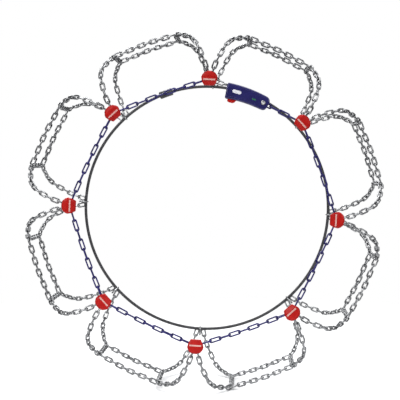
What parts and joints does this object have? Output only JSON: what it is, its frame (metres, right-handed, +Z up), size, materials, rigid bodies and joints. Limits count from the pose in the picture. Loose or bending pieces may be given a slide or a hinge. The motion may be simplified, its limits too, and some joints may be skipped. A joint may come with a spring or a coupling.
{
  "type": "tyre snow chain",
  "caption": "Snow chain for a car tyre: a net of steel links over the tread, capped connectors on a coloured side chain, a ratchet tensioner and an inner cable.",
  "frame": {"origin": "centre of the wheel that the chain is mounted on, on the wheel's axis and half way across the tyre", "axes": "+Y along the wheel's axis towards the car, so the side chain, caps and tensioner face -Y; +Z up; +X to the right seen from outside"},
  "size_m": [0.6452, 0.2476, 0.6452],
  "materials": {
    "galvanised_chain": "galvanised wire, bright with dull patches",
    "plated_steel": "zinc-plated sheet",
    "red_plastic": "glossy moulded red",
    "blue_chain_paint": "glossy dark blue coating on welded links",
    "blue_plastic": "glossy moulded dark blue",
    "cable_jacket": "satin black jacket",
    "spring_steel": "bright spring strip",
    "white_mark": "plain printed marks",
    "green_mark": "plain printed dot"
  },
  "bodies": {
    "tread_net": {"tread_loop_1": "galvanised_chain", "tread_loop_2": "galvanised_chain", "tread_loop_3": "galvanised_chain", "tread_loop_4": "galvanised_chain", "tread_loop_5": "galvanised_chain", "tread_loop_6": "galvanised_chain", "tread_loop_7": "galvanised_chain", "tread_loop_8": "galvanised_chain", "front_run_1": "galvanised_chain", "front_run_2": "galvanised_chain", "front_run_3": "galvanised_chain", "front_run_4": "galvanised_chain", "front_run_5": "galvanised_chain", "front_run_6": "galvanised_chain", "front_run_7": "galvanised_chain", "front_run_8": "galvanised_chain", "rear_run_1": "galvanised_chain", "rear_run_2": "galvanised_chain", "rear_run_3": "galvanised_chain", "rear_run_4": "galvanised_chain", "rear_run_5": "galvanised_chain", "rear_run_6": "galvanised_chain", "rear_run_7": "galvanised_chain", "rear_run_8": "galvanised_chain", "inner_cable": "cable_jacket", "cable_ball_end": "plated_steel"},
    "connector_1": {"connector_cap_1": "red_plastic", "connector_plate_1": "plated_steel"},
    "connector_2": {"connector_cap_2": "red_plastic", "connector_plate_2": "plated_steel"},
    "connector_3": {"connector_cap_3": "red_plastic", "connector_plate_3": "plated_steel"},
    "connector_4": {"connector_cap_4": "red_plastic", "connector_plate_4": "plated_steel"},
    "connector_5": {"connector_cap_5": "red_plastic", "connector_plate_5": "plated_steel"},
    "connector_6": {"connector_cap_6": "red_plastic", "connector_plate_6": "plated_steel"},
    "connector_7": {"connector_cap_7": "red_plastic", "connector_plate_7": "plated_steel"},
    "connector_8": {"connector_cap_8": "red_plastic", "connector_plate_8": "plated_steel"},
    "side_chain_run_1": {"side_chain_1": "blue_chain_paint"},
    "side_chain_run_2": {"side_chain_2": "blue_chain_paint"},
    "side_chain_run_3": {"side_chain_3": "blue_chain_paint"},
    "side_chain_run_4": {"side_chain_4": "blue_chain_paint"},
    "side_chain_run_5": {"side_chain_5": "blue_chain_paint"},
    "side_chain_run_6": {"side_chain_6": "blue_chain_paint"},
    "side_chain_run_7": {"side_chain_7": "blue_chain_paint"},
    "side_chain_run_8": {"side_chain_8": "blue_chain_paint"},
    "tensioner": {"tensioner_housing": "blue_plastic", "tensioner_back_cover": "blue_plastic", "drum_axle": "plated_steel", "drum_spring": "spring_steel", "tensioner_rivet": "plated_steel"},
    "drum": {"tension_drum": "plated_steel"},
    "strand": {"tension_strand": "galvanised_chain"},
    "lever": {"release_lever": "red_plastic"},
    "pawl": {"ratchet_pawl": "plated_steel"},
    "cable_sleeve": {"cable_coupling": "cable_jacket"}
  },
  "joints": [
    {"name": "connector_1_rock", "type": "hinge", "parent": "tread_net", "child": "connector_1", "pos_m": [0.23268, -0.10934, -0.01219], "axis": [-0.0523, 0, -0.9986], "range_deg": [-3, 12]},
    {"name": "connector_2_rock", "type": "hinge", "parent": "tread_net", "child": "connector_2", "pos_m": [0.17315, -0.10934, 0.15591], "axis": [0.6691, 0, -0.7431], "range_deg": [-3, 12]},
    {"name": "connector_3_rock", "type": "hinge", "parent": "tread_net", "child": "connector_3", "pos_m": [0.01219, -0.10934, 0.23268], "axis": [0.9986, 0, -0.0523], "range_deg": [-3, 12]},
    {"name": "connector_4_rock", "type": "hinge", "parent": "tread_net", "child": "connector_4", "pos_m": [-0.15591, -0.10934, 0.17315], "axis": [0.7431, 0, 0.6691], "range_deg": [-3, 12]},
    {"name": "connector_5_rock", "type": "hinge", "parent": "tread_net", "child": "connector_5", "pos_m": [-0.23268, -0.10934, 0.01219], "axis": [0.0523, 0, 0.9986], "range_deg": [-3, 12]},
    {"name": "connector_6_rock", "type": "hinge", "parent": "tread_net", "child": "connector_6", "pos_m": [-0.17315, -0.10934, -0.15591], "axis": [-0.6691, 0, 0.7431], "range_deg": [-3, 12]},
    {"name": "connector_7_rock", "type": "hinge", "parent": "tread_net", "child": "connector_7", "pos_m": [-0.01219, -0.10934, -0.23268], "axis": [-0.9986, 0, 0.0523], "range_deg": [-3, 12]},
    {"name": "connector_8_rock", "type": "hinge", "parent": "tread_net", "child": "connector_8", "pos_m": [0.15591, -0.10934, -0.17315], "axis": [-0.7431, 0, -0.6691], "range_deg": [-3, 12]},
    {"name": "side_chain_1_roll", "type": "hinge", "parent": "tread_net", "child": "side_chain_run_1", "pos_m": [0.20898, -0.10934, 0.074], "axis": [-0.3338, 0, 0.9426], "range_deg": [-20, 20]},
    {"name": "side_chain_2_roll", "type": "hinge", "parent": "tread_net", "child": "side_chain_run_2", "pos_m": [0.14187, -0.10934, 0.17724], "axis": [-0.9148, 0, 0.4038], "range_deg": [-20, 20]},
    {"name": "side_chain_3_roll", "type": "hinge", "parent": "tread_net", "child": "side_chain_run_3", "pos_m": [-0.074, -0.10934, 0.20898], "axis": [-0.9426, 0, -0.3338], "range_deg": [-20, 20]},
    {"name": "side_chain_4_roll", "type": "hinge", "parent": "tread_net", "child": "side_chain_run_4", "pos_m": [-0.2001, -0.10934, 0.09544], "axis": [-0.4305, 0, -0.9026], "range_deg": [-20, 20]},
    {"name": "side_chain_5_roll", "type": "hinge", "parent": "tread_net", "child": "side_chain_run_5", "pos_m": [-0.20898, -0.10934, -0.074], "axis": [0.3338, 0, -0.9426], "range_deg": [-20, 20]},
    {"name": "side_chain_6_roll", "type": "hinge", "parent": "tread_net", "child": "side_chain_run_6", "pos_m": [-0.09544, -0.10934, -0.2001], "axis": [0.9026, 0, -0.4305], "range_deg": [-20, 20]},
    {"name": "side_chain_7_roll", "type": "hinge", "parent": "tread_net", "child": "side_chain_run_7", "pos_m": [0.074, -0.10934, -0.20898], "axis": [0.9426, 0, 0.3338], "range_deg": [-20, 20]},
    {"name": "side_chain_8_roll", "type": "hinge", "parent": "tread_net", "child": "side_chain_run_8", "pos_m": [0.2001, -0.10934, -0.09544], "axis": [0.4305, 0, 0.9026], "range_deg": [-20, 20]},
    {"name": "tensioner_swivel", "type": "hinge", "parent": "tread_net", "child": "tensioner", "pos_m": [0.10647, -0.1095, 0.19287], "axis": [0, -1, 0], "range_deg": [0, 30]},
    {"name": "drum_spin", "type": "hinge", "parent": "tensioner", "child": "drum", "pos_m": [0.05853, -0.1165, 0.21104], "axis": [0, -1, 0], "range_deg": [0, 36]},
    {"name": "strand_slide", "type": "slide", "parent": "tensioner", "child": "strand", "axis": [-0.9532, 0, 0.3024], "range_m": [0, 0.005]},
    {"name": "lever_press", "type": "hinge", "parent": "tensioner", "child": "lever", "pos_m": [0.06549, -0.116, 0.20059], "axis": [0, 1, 0], "range_deg": [0, 10], "stiffness_Nm_per_rad": 0.05, "springref_deg": -17.19},
    {"name": "pawl_lift", "type": "hinge", "parent": "tensioner", "child": "pawl", "pos_m": [0.07076, -0.12, 0.2009], "axis": [0, 1, 0], "range_deg": [0, 12.5]},
    {"name": "cable_sleeve_slide", "type": "slide", "parent": "tread_net", "child": "cable_sleeve", "axis": [0.9426, 0, 0.3338], "range_m": [0, 0.012]}
  ],
  "couplings": [
    {"joint": "drum_spin", "follows": "strand_slide", "rad_per_m": 125},
    {"joint": "pawl_lift", "follows": "lever_press", "ratio": 1.2}
  ]
}
